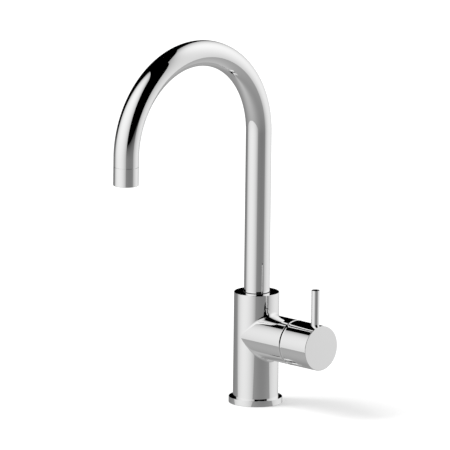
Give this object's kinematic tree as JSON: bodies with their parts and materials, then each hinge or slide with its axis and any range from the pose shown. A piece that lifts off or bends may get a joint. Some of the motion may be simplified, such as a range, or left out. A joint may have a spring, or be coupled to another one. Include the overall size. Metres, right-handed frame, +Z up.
{
  "type": "basin mixer tap",
  "caption": "Single-hole mixer tap: upright column with a tall swivelling gooseneck spout, and a side branch whose drum-shaped handle turns by a short upright lever pin.",
  "frame": {"origin": "centre of the flange's underside, on the axis of the column and of the fixing stud's hole", "axes": "+Z up the column; +X out along the handle branch; -Y the way the spout reaches at rest"},
  "size_m": [0.116, 0.2185, 0.3707],
  "materials": {
    "polished_chrome": "mirror polished chrome plate",
    "turned_brass": "machined, unplated",
    "stainless_steel": "bright machined",
    "cartridge_plastic": "moulded, matt",
    "pale_plastic": "moulded, satin",
    "black_rubber": "matt",
    "disc_ceramic": "lapped"
  },
  "bodies": {
    "body": {"body_casting": "polished_chrome", "base_flange": "polished_chrome", "base_seal": "black_rubber", "spout_set_screw": "stainless_steel", "spout_wiper": "black_rubber", "cartridge_base": "cartridge_plastic", "port_seals": "black_rubber", "fixed_disc": "disc_ceramic", "cartridge_housing": "cartridge_plastic", "cartridge_nut": "polished_chrome"},
    "handle": {"handle_cap": "polished_chrome", "lever_pin": "polished_chrome", "handle_set_screw": "stainless_steel", "handle_plug": "polished_chrome", "spindle": "turned_brass", "spindle_o_rings": "black_rubber", "disc_carrier": "cartridge_plastic", "moving_disc": "disc_ceramic"},
    "spout": {"spout_tube": "polished_chrome", "spout_stub": "turned_brass", "glide_rings": "pale_plastic", "spout_o_rings": "black_rubber", "outlet_nipple": "polished_chrome", "aerator_sleeve": "polished_chrome", "aerator_core": "pale_plastic", "aerator_diffuser": "pale_plastic", "aerator_screen": "stainless_steel", "aerator_washer": "black_rubber"}
  },
  "joints": [
    {"name": "handle_turn", "type": "hinge", "parent": "body", "child": "handle", "pos_m": [0.0726, 0, 0.0675], "axis": [1, 0, 0], "range_deg": [0, 110]},
    {"name": "spout_swivel", "type": "hinge", "parent": "body", "child": "spout", "pos_m": [0, 0, 0.1095], "axis": [0, 0, 1], "continuous": true}
  ]
}
